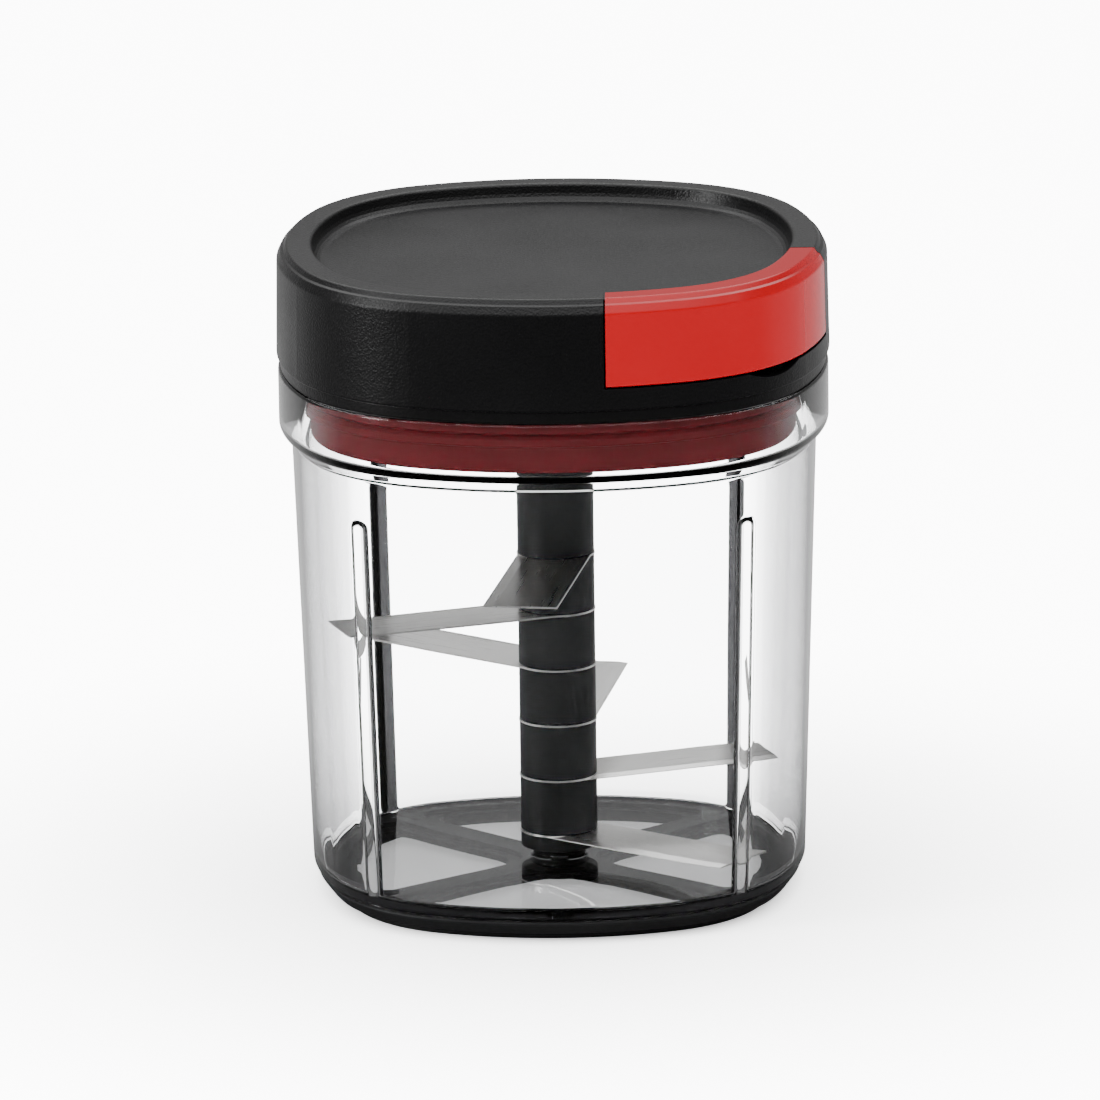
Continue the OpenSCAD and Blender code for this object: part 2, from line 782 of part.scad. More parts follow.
// Cord from the drum to the eyelet: straight, one easy bend, then out through the eyelet
module cord_run() {
    bend = [for (i = [0:6])
        let (t = i / 6)
        bend_at - leave_dir * bend_l * (1 - t) * (1 - t) + pull_dir * bend_l * t * t];
    straight = norm(bend[0] - leave_at);
    path = concat(
        [for (i = [0:6]) leave_at + leave_dir * (0.2 + (straight - 1) * i / 6)],
        bend,
        [(eyelet_in + bend_l / 2) * pull_dir, eyelet_out * pull_dir]
    );
    color(white)
        tube([for (p = path) [p.x, p.y, cord_z]], cord_d, run_sides);
}

// Reel: flanged drum with the spring's chamber inside it
module reel() {
    color(white)
        difference() {
            translate([0, 0, reel_z])
                rotate_extrude()
                    polygon(softened([
                        [0, 0, 0],
                        [flange_r, 0, 0.4],
                        [flange_r, flange_t, 0.4],
                        [drum_r, flange_t, 0],
                        [drum_r, drum_top_z - reel_z, 0],
                        [flange_r, drum_top_z - reel_z, 0.4],
                        [flange_r, reel_top_z - reel_z, 0.4],
                        [spring_cover_r + slip_gap, reel_top_z - reel_z, 0],
                        [spring_cover_r + slip_gap, spring_cover_z - reel_z, 0],
                        [chamber_r, spring_cover_z - reel_z, 0],
                        [chamber_r, chamber_z - reel_z, 0.6],
                        [0, chamber_z - reel_z, 0],
                    ], 3));
            translate([0, 0, reel_z - 1])
                six_sided(core_af + 2 * slip_gap, chamber_z - reel_z + 2);
        }
}

// Drive socket: turns in the lid base, keyed into the reel above and onto the shaft core below
module drive_socket() {
    neck_z = rim_z - clear_gap;
    color(white)
        difference() {
            union() {
                translate([0, 0, socket_low_z])
                    rotate_extrude()
                        polygon(softened([
                            [0, 0, 0],
                            [shaft_r, 0, 0.5],
                            [shaft_r, neck_z - socket_low_z, 0.5],
                            [socket_neck_r, neck_z - socket_low_z, 0],
                            [socket_neck_r, reel_z - socket_low_z, 0],
                            [0, reel_z - socket_low_z, 0],
                        ], 3));
                translate([0, 0, reel_z])
                    six_sided(core_af, chamber_z - reel_z);
            }
            translate([0, 0, socket_low_z - 1])
                six_sided(core_af + 2 * key_gap, core_top_z - socket_low_z + 1 + clear_gap);
            translate([0, 0, axle_low_z - clear_gap])
                cylinder(r = axle_d / 2 + run_gap, h = tall);
        }
}

// Cover disc that keeps the spring in the drum
module spring_cover() {
    color(steel)
        translate([0, 0, spring_cover_z])
            difference() {
                cylinder(r = spring_cover_r, h = spring_cover_t);
                translate([0, 0, -1])
                    cylinder(d = arbor_d + 2 * clear_gap, h = spring_cover_t + 2);
            }
}

// Cord wound on the drum, one layer of turns, from the leaving point down to the lower flange
wind_path = [for (i = [0:cord_turns * wind_rings])
    let (t = leave_turn + 360 * i / wind_rings)
    [wind_r * cos(t), wind_r * sin(t), cord_z - cord_pitch * i / wind_rings]];

// Least gap between one turn and another, measured from point to point
wind_gap = min([for (i = [0:len(wind_path) - 1], j = [i + wind_rings / 2:1:len(wind_path) - 1])
    norm(wind_path[i] - wind_path[j]) - cord_d]);
echo(least_gap_between_turns = wind_gap);

module cord_winding() {
    color(white)
        tube(wind_path, cord_d, wind_sides);
}

// Pull handle: red angle section that closes the lid's corner, with a cord boss behind its face
module pull_handle() {
    under = top_z - handle_wall;
    inner = cover_side(shoulder_z) - handle_wall;
    color(red)
        difference() {
            union() {
                intersection() {
                    around(softened(concat(
                        lid_edge(handle_z, 0.5),
                        [
                            [handle_in_a, top_z, 0.6],
                            [handle_in_a, under, 0.4],
                            [inner, under, 1.2],
                            [inner, handle_z, 0.4],
                        ]
                    )), [0, 3]);
                    front_right(handle_end);
                }
                intersection() {
                    around([
                        [handle_in_a + 0.2, handle_z + 0.6],
                        [inner + handle_wall / 2, handle_z + 0.6],
                        [inner + handle_wall / 2, under + 0.4],
                        [handle_in_a + 0.2, under + 0.4],
                    ], [0, 3]);
                    difference() {
                        front_right(handle_end);
                        front_right(handle_end + handle_wall);
                    }
                }
                along_pull(boss_in)
                    cylinder(d = boss_d, h = boss_out - boss_in + handle_wall / 2);
            }
            along_pull(boss_in - 1)
                cylinder(d = cord_d + 2 * slip_gap, h = boss_out - boss_in + 1);
            along_pull(boss_out - knot_l)
                cylinder(d = ferrule_d + 2 * slip_gap, h = knot_l);
            rotate(pull_turn)
                translate([boss_in - 1, -cord_d / 2 - slip_gap, cord_z - boss_d])
                    cube([boss_out - boss_in + 1, cord_d + 2 * slip_gap, boss_d]);
            rotate(pull_turn)
                translate([boss_out - knot_l, -ferrule_d / 2 - slip_gap, cord_z - boss_d])
                    cube([knot_l, ferrule_d + 2 * slip_gap, boss_d]);
        }
}

// Ferrule crimped on the cord's end, held in the handle's boss
module cord_ferrule() {
    ferrule_l = knot_l - 2 * slip_gap;
    color(steel)
        along_pull(boss_out - knot_l + slip_gap)
            rotate_extrude()
                polygon(softened([
                    [0, 0, 0],
                    [ferrule_d / 2, 0, 0.4],
                    [ferrule_d / 2, ferrule_l, 0.4],
                    [0, ferrule_l, 0],
                ]));
}

// Last piece of cord, from the eyelet to the ferrule
module cord_lead() {
    start = eyelet_out + slip_gap;
    color(white)
        along_pull(start)
            cylinder(d = cord_d, h = boss_out - knot_l + slip_gap - start);
}

// Shaft core: six-sided rod with a foot, bored for the pivot pin, its top end is the drive key
module shaft_core() {
    color(black)
        difference() {
            union() {
                translate([0, 0, foot_z])
                    rotate_extrude()
                        polygon(softened([
                            [0, 0, 0],
                            [shaft_r, 0, 0.4],
                            [shaft_r, foot_t, 0],
                            [0, foot_t, 0],
                        ], 3));
                translate([0, 0, foot_z])
                    six_sided(core_af, core_top_z - foot_z);
            }
            translate([0, 0, foot_z - 1])
                cylinder(r = pin_d / 2 + run_gap, h = pin_tip_z - foot_z + 1 + clear_gap);
        }
}

// A shaft sleeve from one height to another, threaded on the core
module sleeve(low, high) {
    ease = 0.25;
    color(black)
        translate([0, 0, low])
            difference() {
                rotate_extrude()
                    polygon([
                        [0, 0],
                        [shaft_r - ease, 0],
                        [shaft_r, ease],
                        [shaft_r, high - low - ease],
                        [shaft_r - ease, high - low],
                        [0, high - low],
                    ]);
                translate([0, 0, -1])
                    six_sided(core_af + 2 * slip_gap, high - low + 2);
            }
}

// Shaft tube: the long sleeve above the top blade
module shaft_tube() {
    sleeve(tube_z, tube_top_z);
}

// Height of a blade, counted from the top
function blade_z(i) = stack_z + (blade_count - i) * blade_pitch;

// Spacer between blade i and the blade below it
module spacer(i) {
    sleeve(blade_z(i + 1) + blade_t, blade_z(i));
}

// Blade i, counted from the top: a hub on the core and one flat arm ground on its leading edge
module blade(i) {
    color(steel)
        translate([0, 0, blade_z(i)])
            difference() {
                rotate(blade_start + blade_step * (blade_count - i)) {
                    cylinder(r = shaft_r + hub_proud, h = blade_t);
                    rotate([90, 0, 90])
                        linear_extrude(blade_l)
                            polygon([
                                [-blade_w / 2, 0],
                                [blade_w / 2, 0],
                                [blade_w / 2, blade_t],
                                [bevel_w - blade_w / 2, blade_t],
                                [-blade_w / 2, edge_t],
                            ]);
                }
                translate([0, 0, -1])
                    six_sided(core_af + 2 * slip_gap, blade_t + 2);
            }
}

bowl();
pivot_pin();
base_mat();
lid_cover();
lid_base();
seal_ring();
lid_screws();
cord_eyelet();
reel_axle();
reel_washer();
power_spring();
cord_run();
reel();
drive_socket();
spring_cover();
cord_winding();
pull_handle();
cord_ferrule();
cord_lead();
shaft_core();
shaft_tube();
for (i = [1:blade_count]) blade(i);
for (i = [1:blade_count - 1]) spacer(i);
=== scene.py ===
import math

import bmesh
import bpy
from mathutils import Matrix, Vector


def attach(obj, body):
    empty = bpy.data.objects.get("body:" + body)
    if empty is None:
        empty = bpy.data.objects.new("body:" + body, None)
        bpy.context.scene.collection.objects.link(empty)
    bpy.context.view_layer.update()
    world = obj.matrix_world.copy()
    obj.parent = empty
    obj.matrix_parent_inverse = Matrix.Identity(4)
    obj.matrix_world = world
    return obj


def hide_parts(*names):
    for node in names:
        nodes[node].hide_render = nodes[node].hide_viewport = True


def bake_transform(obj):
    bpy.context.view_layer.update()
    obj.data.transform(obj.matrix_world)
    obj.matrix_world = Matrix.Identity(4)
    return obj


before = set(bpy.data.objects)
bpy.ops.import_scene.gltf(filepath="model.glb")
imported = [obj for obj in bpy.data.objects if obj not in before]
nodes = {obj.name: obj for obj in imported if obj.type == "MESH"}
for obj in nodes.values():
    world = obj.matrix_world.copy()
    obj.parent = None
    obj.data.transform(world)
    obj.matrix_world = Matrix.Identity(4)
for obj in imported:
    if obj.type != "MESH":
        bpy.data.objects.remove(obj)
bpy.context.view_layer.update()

# The viewpoint is a long lens a little above the lid, almost square to the front and tipped by
# under a degree, as on a table-top stand.
camera = bpy.data.objects.new("camera", bpy.data.cameras.new("camera"))
bpy.context.scene.collection.objects.link(camera)
camera.location = (0.03728, -2.34063, 0.69797)
look_at = Vector((0, 0, 0.07845))
camera_roll = math.radians(-0.761)
facing = (look_at - camera.location).to_track_quat("-Z", "Y").to_matrix()
camera.rotation_euler = (facing @ Matrix.Rotation(camera_roll, 3, "Z")).to_euler()
camera.data.lens = 352.0
camera.data.shift_x = -0.0051
camera.data.shift_y = -0.0089
bpy.context.scene.camera = camera

# The studio is a white lit table under a wide white ceiling that ends well above the horizon, with a tall
# soft box on the left and a faint narrow one on the right. The table glows, dimmer near the object, which
# is a painted shadow round its base. Its colour in mirror images is a painted dark reflection, as if black
# cards lay in front of the object and grey ones behind it.


def shaded(name):
    """New material, with its node tree and its shader."""
    material = bpy.data.materials.new(name)
    material.use_nodes = True
    return material, material.node_tree, material.node_tree.nodes["Principled BSDF"]


def ranged(tree, source, low, high, start=0.0, end=1.0, curve="LINEAR"):
    """A value stretched so that start to end becomes low to high."""
    stretch = tree.nodes.new("ShaderNodeMapRange")
    stretch.interpolation_type = curve
    stretch.inputs["From Min"].default_value = start
    stretch.inputs["From Max"].default_value = end
    stretch.inputs["To Min"].default_value = low
    stretch.inputs["To Max"].default_value = high
    tree.links.new(source, stretch.inputs["Value"])
    return stretch.outputs["Result"]


def colour_mix(tree, first, second, mask):
    """Colour that goes from the first to the second by a mask. Each is a colour or a socket."""
    mix = tree.nodes.new("ShaderNodeMix")
    mix.data_type = "RGBA"
    for label, source in (("A", first), ("B", second)):
        if isinstance(source, tuple):
            mix.inputs[label].default_value = (*source, 1)
        else:
            tree.links.new(source, mix.inputs[label])
    tree.links.new(mask, mix.inputs["Factor"])
    return mix.outputs["Result"]


table_half = 6
table_white = (0.95, 0.95, 0.95)
painted_reflection_front, painted_reflection_back = 0.015, 0.07
reflection_start, reflection_end = -0.05, 0.1
painted_shadow_glow, glow_far = 0.8, 6.0
glow_start, glow_end = 0.05, 0.22
floor_mesh = bpy.data.meshes.new("floor")
floor_corners = [(x * table_half, y * table_half, 0) for x, y in ((-1, -1), (1, -1), (1, 1), (-1, 1))]
floor_mesh.from_pydata(floor_corners, [], [(0, 1, 2, 3)])
floor = bpy.data.objects.new("floor", floor_mesh)
bpy.context.scene.collection.objects.link(floor)
floor_paint, tree, shader = shaded("floor_paint")
ray = tree.nodes.new("ShaderNodeLightPath")
place = tree.nodes.new("ShaderNodeTexCoord")
spot = tree.nodes.new("ShaderNodeSeparateXYZ")
reach = tree.nodes.new("ShaderNodeVectorMath")
reach.operation = "LENGTH"
tree.links.new(place.outputs["Object"], spot.inputs["Vector"])
tree.links.new(place.outputs["Object"], reach.inputs[0])
# Painted reflection: in mirror images the table shows dark, near black in front and grey behind.
painted_reflection = ranged(tree, spot.outputs["Y"], painted_reflection_front, painted_reflection_back, reflection_start, reflection_end)
# Painted shadow: the table's glow is dimmer near the object, like soft shade round its base.
painted_glow = ranged(tree, reach.outputs["Value"], painted_shadow_glow, glow_far, glow_start, glow_end, "SMOOTHSTEP")
paint = colour_mix(tree, table_white, painted_reflection, ray.outputs["Glossy Depth"])
tree.links.new(paint, shader.inputs["Base Color"])
tree.links.new(paint, shader.inputs["Emission Color"])
tree.links.new(painted_glow, shader.inputs["Emission Strength"])
shader.inputs["Roughness"].default_value = 0.8
shader.inputs["Specular IOR Level"].default_value = 0.1
floor_mesh.materials.append(floor_paint)

world = bpy.data.worlds.new("studio")
world.use_nodes = True
bpy.context.scene.world = world
sky = world.node_tree
direction = sky.nodes.new("ShaderNodeTexCoord")
upward = sky.nodes.new("ShaderNodeSeparateXYZ")
ceiling = sky.nodes.new("ShaderNodeValToRGB")
ceiling.color_ramp.interpolation = "EASE"
ceiling.color_ramp.elements[0].position = 0.38
ceiling.color_ramp.elements[0].color = (0.05, 0.05, 0.05, 1)
ceiling.color_ramp.elements[1].position = 0.8
ceiling.color_ramp.elements[1].color = (1, 1, 1, 1)
sky.links.new(direction.outputs["Generated"], upward.inputs["Vector"])
sky.links.new(upward.outputs["Z"], ceiling.inputs["Fac"])
sky.links.new(ceiling.outputs["Color"], sky.nodes["Background"].inputs["Color"])
sky.nodes["Background"].inputs["Strength"].default_value = 9.0


def soft_box(name, place, width, height, watts):
    """Soft box that stands at a place and faces the object."""
    light = bpy.data.lights.new(name, "AREA")
    light.shape = "RECTANGLE"
    light.size = width
    light.size_y = height
    light.energy = watts
    lamp = bpy.data.objects.new(name, light)
    bpy.context.scene.collection.objects.link(lamp)
    lamp.location = place
    aim = Vector((0, 0, 0.1))
    lamp.rotation_euler = (aim - Vector(place)).to_track_quat("-Z", "Y").to_euler()


soft_box("left_box", place=(-1.3, -0.55, 0.5), width=0.35, height=0.8, watts=36)
soft_box("right_box", place=(1.3, -0.35, 0.55), width=0.15, height=0.8, watts=0.5)

# The bowl is a clear injection moulding, polished inside and out: soft-square outline, collar for the lid,
# an upright round rib in each corner and a boss in the floor for the pivot pin. Its colour is darkened as
# painted shade on walls seen at a slant and on the ribs' inner faces, standing in for the dark surroundings
# that clear plastic shows there.
mm = 0.001
spread = 44.0
side_back, corner_in = 0.584 * spread, 0.352 * spread
seam_turn = math.degrees(math.atan2(corner_in, corner_in + side_back))


def soft_square(half_width, turn):
    """Point of the outline at a turn in degrees: four side arcs and four corner arcs."""
    quarter = math.floor((turn + seam_turn) / 90)
    local = turn - 90 * quarter
    if local <= seam_turn:
        centre, radius = (-side_back, 0.0), half_width + side_back
    else:
        centre, radius = (corner_in, corner_in), half_width + side_back - spread
    x = centre[0] + radius * math.cos(math.radians(local))
    y = centre[1] + radius * math.sin(math.radians(local))
    c, s = math.cos(math.radians(90 * quarter)), math.sin(math.radians(90 * quarter))
    return x * c - y * s, x * s + y * c


arc_steps = 6


def rounded(corners):
    """Profile of [half width, height, radius] corners, each turned into an arc."""
    path = []
    for i, (x, z, r) in enumerate(corners):
        here = Vector((x, z))
        if r == 0:
            path.append(here)
            continue
        u = (Vector(corners[i - 1][:2]) - here).normalized()
        v = (Vector(corners[(i + 1) % len(corners)][:2]) - here).normalized()
        half = u.angle(v) / 2
        centre = here + (u + v).normalized() * r / math.sin(half)
        first = here + u * r / math.tan(half) - centre
        last = here + v * r / math.tan(half) - centre
        sweep = math.atan2(first.x * last.y - first.y * last.x, first.dot(last))
        for k in range(arc_steps + 1):
            path.append(centre + Matrix.Rotation(sweep * k / arc_steps, 2) @ first)
    return path


def loops_mesh(name, loops, smooth_angle):
    """Closed skin over loops of points, in millimetres, smooth up to an angle in degrees."""
    bm = bmesh.new()
    rings = [[bm.verts.new(Vector(p) * mm) for p in loop] for loop in loops]
    for a, b in zip(rings, rings[1:]):
        for i in range(len(a)):
            j = (i + 1) % len(a)
            bm.faces.new((a[i], a[j], b[j], b[i]))
    bm.faces.new(reversed(rings[0]))
    bm.faces.new(rings[-1])
    bmesh.ops.recalc_face_normals(bm, faces=bm.faces)
    mesh = bpy.data.meshes.new(name)
    bm.to_mesh(mesh)
    bm.free()
    mesh.shade_smooth()
    mesh.set_sharp_from_angle(angle=math.radians(smooth_angle))
    piece = bpy.data.objects.new(name, mesh)
    bpy.context.scene.collection.objects.link(piece)
    return piece


under_z, floor_z, shoulder_z = 4.3, 7.2, 106.0
wall_low, wall_lean = 53.5, 3.2
flat_half = 30
rib_top, rib_r, rib_in, rib_ease = 94.7, 2.1, 0.1, 0.5
half_rib = [0.0, 0.5, 0.9, 1.25, 1.55, 1.8, 1.95, 2.05, 2.1, 2.22, 2.4, 2.7, 3.4]
rib_columns = [-x for x in reversed(half_rib[1:])] + half_rib
side_parts, corner_parts = 20, 6


def bowl_columns(half_width):
    """Turns of the columns at a half width. Those on a rib keep their distance from its middle."""
    corner_r = half_width + side_back - spread
    edge = math.degrees(rib_columns[-1] / corner_r)
    plain = 45 - edge - seam_turn
    columns = []
    for quarter in range(4):
        side = [-seam_turn + 2 * seam_turn * i / side_parts for i in range(side_parts)]
        before = [seam_turn + plain * i / corner_parts for i in range(corner_parts)]
        rib = [45 + math.degrees(x / corner_r) for x in rib_columns]
        after = [45 + edge + plain * i / corner_parts for i in range(1, corner_parts)]
        columns += [(90 * quarter + t, None) for t in side + before]
        columns += [(90 * quarter + t, abs(x)) for t, x in zip(rib, rib_columns)]
        columns += [(90 * quarter + t, None) for t in after]
    return columns


def rib_stand(across, z):
    """How far a corner rib stands in from the wall, at a distance from its middle and a height."""
    if across is None or z > rib_top + rib_ease:
        return 0.0
    across = math.hypot(across, max(0.0, z - rib_top + rib_r))
    if across < rib_r:
        return rib_in + math.sqrt(rib_r ** 2 - across ** 2)
    return rib_in * max(0.0, 1 - (across - rib_r) / rib_ease) ** 2


def bowl_loop(half_width, z, inside):
    """Soft-square loop at a height. Inside the bowl the ribs stand in from it."""
    wall = wall_low + wall_lean * (z - floor_z) / (shoulder_z - floor_z)
    loop = []
    for turn, across in bowl_columns(half_width):
        reach = min(half_width, wall - rib_stand(across, z)) if inside else half_width
        loop.append((*soft_square(reach, turn), z))
    return loop


def round_loop(radius, z):
    """Circle at a height, with as many points as a soft-square loop."""
    turns = [math.radians(t) for t, _ in bowl_columns(flat_half)]
    return [(radius * math.cos(t), radius * math.sin(t), z) for t in turns]


# The profile goes from the underside up the outside, over the rim and down the inside.
profile = rounded([
    (flat_half, under_z, 0), (53.2, under_z, 0.5), (53.2, 5.55, 0.3), (55.7, 5.55, 1.2), (58.9, 104.8, 1.2),
    (61.7, 107.6, 1.6), (61.7, 120.7, 0.8), (59.5, 120.7, 0.8), (59.5, 108.8, 1.0),
    (wall_low + wall_lean, shoulder_z, 1.2), (wall_low, floor_z, 1.6), (flat_half, floor_z, 0),
])
wall_end = len(profile) - arc_steps - 2
upper, lower = profile[wall_end - 1], profile[wall_end]
above_ribs = [103, 99, 96]
rib_heads = [95.2 - 0.2 * i for i in range(26)]
below_heads = [89 - 6 * i for i in range(13)]
bowl_loops = [round_loop(0.5, under_z)]
bowl_loops += [bowl_loop(p.x, p.y, inside=False) for p in profile[:wall_end]]
for z in [h for h in above_ribs + rib_heads + below_heads if lower.y < h < upper.y]:
    half_width = upper.x + (lower.x - upper.x) * (upper.y - z) / (upper.y - lower.y)
    bowl_loops.append(bowl_loop(half_width, z, inside=True))
bowl_loops += [bowl_loop(p.x, p.y, inside=True) for p in profile[wall_end:]]
boss = [(6.6, floor_z), (6.0, 7.8), (6.0, 8.9), (5.7, 9.2), (2.3, 9.2), (2.3, 5.2), (0.4, 5.2)]
bowl_loops += [round_loop(r, z) for r, z in boss]
bowl = loops_mesh("clear_bowl", bowl_loops, smooth_angle=40)


def shader_group(name, inputs, outputs):
    """Empty node group with named value inputs and named value outputs."""
    group = bpy.data.node_groups.new(name, "ShaderNodeTree")
    for label, value in inputs:
        socket = group.interface.new_socket(label, in_out="INPUT", socket_type="NodeSocketFloat")
        socket.default_value = value
    for label in outputs:
        group.interface.new_socket(label, in_out="OUTPUT", socket_type="NodeSocketFloat")
    return group, group.nodes.new("NodeGroupInput"), group.nodes.new("NodeGroupOutput")


def place_group(tree, group, **values):
    """Puts a node group into a material, with its own values."""
    node = tree.nodes.new("ShaderNodeGroup")
    node.node_tree = group
    for label, value in values.items():
        node.inputs[label].default_value = value
    return node


def worked(tree, operation, *sources):
    """Result of a Math node over sockets and numbers."""
    node = tree.nodes.new("ShaderNodeMath")
    node.operation = operation
    for slot, source in zip(node.inputs, sources):
        if isinstance(source, float):
            slot.default_value = source
        else:
            tree.links.new(source, slot)
    return node.outputs["Value"]


smudges, entry, leave = shader_group("handling_smudges", [("Scale", 60.0)], ["Mask"])
place = smudges.nodes.new("ShaderNodeTexCoord")
cloud = smudges.nodes.new("ShaderNodeTexNoise")
cloud.inputs["Detail"].default_value = 5
cloud.inputs["Roughness"].default_value = 0.62
smudges.links.new(place.outputs["Object"], cloud.inputs["Vector"])
smudges.links.new(entry.outputs["Scale"], cloud.inputs["Scale"])
smudged = ranged(smudges, cloud.outputs["Fac"], low=0.0, high=1.0, start=0.42, end=0.68)
smudges.links.new(smudged, leave.inputs["Mask"])

clear_tint, painted_edge_shade, painted_rib_shade = (0.985, 0.988, 0.99), (0.34, 0.34, 0.345), (0.0003, 0.0003, 0.00032)
slope_gain, slope_offset = 6.2, -2.2
wall_shade_from, wall_shade_to = 0.0102, 0.1052
rib_from, rib_to = 0.0073, 0.0952
rib_reach, rib_lean, rib_inside = 0.0036, -0.0467, 0.0811
clear_plastic, tree, shader = shaded("clear_plastic")
edge = tree.nodes.new("ShaderNodeLayerWeight").outputs["Facing"]
behind = tree.nodes.new("ShaderNodeNewGeometry").outputs["Backfacing"]
place = tree.nodes.new("ShaderNodeTexCoord")
quadrant = tree.nodes.new("ShaderNodeVectorMath")
quadrant.operation = "ABSOLUTE"
spot = tree.nodes.new("ShaderNodeSeparateXYZ")
tree.links.new(place.outputs["Object"], quadrant.inputs[0])
tree.links.new(quadrant.outputs["Vector"], spot.inputs["Vector"])
x, y, z = spot.outputs["X"], spot.outputs["Y"], spot.outputs["Z"]
# Painted shade: the walls grey where they are seen at a slant, between the floor and the collar.
painted_wall_shade_mask = worked(tree, "MULTIPLY_ADD", edge, slope_gain, slope_offset)
above_floor = worked(tree, "GREATER_THAN", z, wall_shade_from)
under_collar = worked(tree, "LESS_THAN", z, wall_shade_to)
for mask in (above_floor, under_collar):
    painted_wall_shade_mask = worked(tree, "MULTIPLY", painted_wall_shade_mask, mask)
# Painted shade: the corner ribs' inner faces, seen from inside the bowl, are near black.
off_diagonal = worked(tree, "ABSOLUTE", worked(tree, "SUBTRACT", x, y))
outward = worked(tree, "ADD", x, y)
near_rib = worked(tree, "LESS_THAN", off_diagonal, rib_reach)
under_head = worked(tree, "LESS_THAN", z, rib_to)
off_wall = worked(tree, "LESS_THAN", worked(tree, "MULTIPLY_ADD", z, rib_lean, outward), rib_inside)
entering = worked(tree, "SUBTRACT", 1.0, behind)
painted_rib_shade_mask = worked(tree, "GREATER_THAN", z, rib_from)
for mask in (near_rib, under_head, off_wall, entering):
    painted_rib_shade_mask = worked(tree, "MULTIPLY", painted_rib_shade_mask, mask)
body = colour_mix(tree, clear_tint, painted_edge_shade, painted_wall_shade_mask)
tree.links.new(colour_mix(tree, body, painted_rib_shade, painted_rib_shade_mask), shader.inputs["Base Color"])
shader.inputs["IOR"].default_value = 1.5
shader.inputs["Transmission Weight"].default_value = 1.0
shader.inputs["Specular Tint"].default_value = (0.12, 0.12, 0.12, 1)
marks = place_group(tree, smudges, Scale=45)
tree.links.new(ranged(tree, marks.outputs["Mask"], 0.0, 0.02), shader.inputs["Roughness"])
depth_tint = tree.nodes.new("ShaderNodeVolumeAbsorption")
depth_tint.inputs["Color"].default_value = (0.5, 0.5, 0.51, 1)
depth_tint.inputs["Density"].default_value = 60
tree.links.new(depth_tint.outputs["Volume"], tree.nodes["Material Output"].inputs["Volume"])
bowl.data.materials.append(clear_plastic)
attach(bowl, "bowl")
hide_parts("bowl")

# The lid's cover and base are black mouldings from a spark-eroded tool, which leaves a fine pebbled
# grain. The cover holds the reel and the handle pocket, the base plugs into the bowl.
grain, entry, leave = shader_group("moulded_grain", [("Scale", 2600.0)], ["Height", "Patch"])
place = grain.nodes.new("ShaderNodeTexCoord")
pebble = grain.nodes.new("ShaderNodeTexVoronoi")
pebble.feature = "SMOOTH_F1"
speckle = grain.nodes.new("ShaderNodeTexNoise")
speckle.inputs["Detail"].default_value = 3
patch = grain.nodes.new("ShaderNodeTexNoise")
patch.inputs["Scale"].default_value = 35
patch.inputs["Detail"].default_value = 4
for texture in (pebble, speckle):
    grain.links.new(place.outputs["Object"], texture.inputs["Vector"])
    grain.links.new(entry.outputs["Scale"], texture.inputs["Scale"])
grain.links.new(place.outputs["Object"], patch.inputs["Vector"])
pebbled = worked(grain, "ADD", pebble.outputs["Distance"], speckle.outputs["Fac"])
grain.links.new(pebbled, leave.inputs["Height"])
grain.links.new(patch.outputs["Fac"], leave.inputs["Patch"])


def bumped(tree, shader, height, strength, depth):
    """Raises a surface by a mask, up to a depth in metres."""
    bump = tree.nodes.new("ShaderNodeBump")
    bump.inputs["Strength"].default_value = strength
    bump.inputs["Distance"].default_value = depth
    tree.links.new(height, bump.inputs["Height"])
    tree.links.new(bump.outputs["Normal"], shader.inputs["Normal"])


def moulded(name, shade, lighter, rough, shine, size, depth):
    """Moulded plastic: two close shades in soft patches, a roughness range and a pebbled grain."""
    material, tree, shader = shaded(name)
    texture = place_group(tree, grain, Scale=size)
    patches = texture.outputs["Patch"]
    tree.links.new(colour_mix(tree, shade, lighter, patches), shader.inputs["Base Color"])
    tree.links.new(ranged(tree, patches, *rough), shader.inputs["Roughness"])
    shader.inputs["Specular IOR Level"].default_value = shine
    bumped(tree, shader, texture.outputs["Height"], strength=0.6, depth=depth)
    return material


def dress(material, *names):
    """Gives CAD nodes their material."""
    for name in names:
        nodes[name].data.materials.clear()
        nodes[name].data.materials.append(material)


lid_plastic = moulded("lid_plastic", shade=(0.0005, 0.0005, 0.00055), lighter=(0.001, 0.001, 0.0011),
                      rough=(0.22, 0.46), shine=0.09, size=2300, depth=0.0001)
dress(lid_plastic, "lid_cover", "lid_base")

# The seal is a red silicone band with two lips, stretched over the lid's plug skirt. Its surface is
# satin, with a faint bloom.
seal_rubber = moulded("seal_rubber", shade=(0.04, 0.0014, 0.0026), lighter=(0.05, 0.002, 0.0034),
                      rough=(0.42, 0.55), shine=0.08, size=1800, depth=0.00001)
dress(seal_rubber, "seal_ring")

# The pull handle is a glossy red moulding that fills the lid's front right corner and holds the cord's
# end in a boss behind its face.
red_plastic = moulded("red_plastic", shade=(0.1, 0.00003, 0.001), lighter=(0.11, 0.00003, 0.0012),
                      rough=(0.12, 0.2), shine=0.12, size=1500, depth=0.000003)
dress(red_plastic, "pull_handle")

# The mat is black thermoplastic rubber with four windows between diagonal spokes, moulded with a foot
# ring, and the bowl stands in its shallow seat.
mat_rubber = moulded("mat_rubber", shade=(0.003, 0.003, 0.0032), lighter=(0.005, 0.005, 0.0052),
                     rough=(0.42, 0.58), shine=0.1, size=2000, depth=0.00004)
dress(mat_rubber, "base_mat")

# The blade shaft is a six-sided core with a foot, carrying black satin sleeves between the blades and
# a long one up to the lid.
shaft_plastic = moulded("shaft_plastic", shade=(0.006, 0.006, 0.0063), lighter=(0.008, 0.008, 0.0085),
                        rough=(0.34, 0.46), shine=0.14, size=2600, depth=0.00003)
dress(shaft_plastic, "shaft_core", "shaft_tube", *[f"spacer_{i}" for i in range(1, 6)])

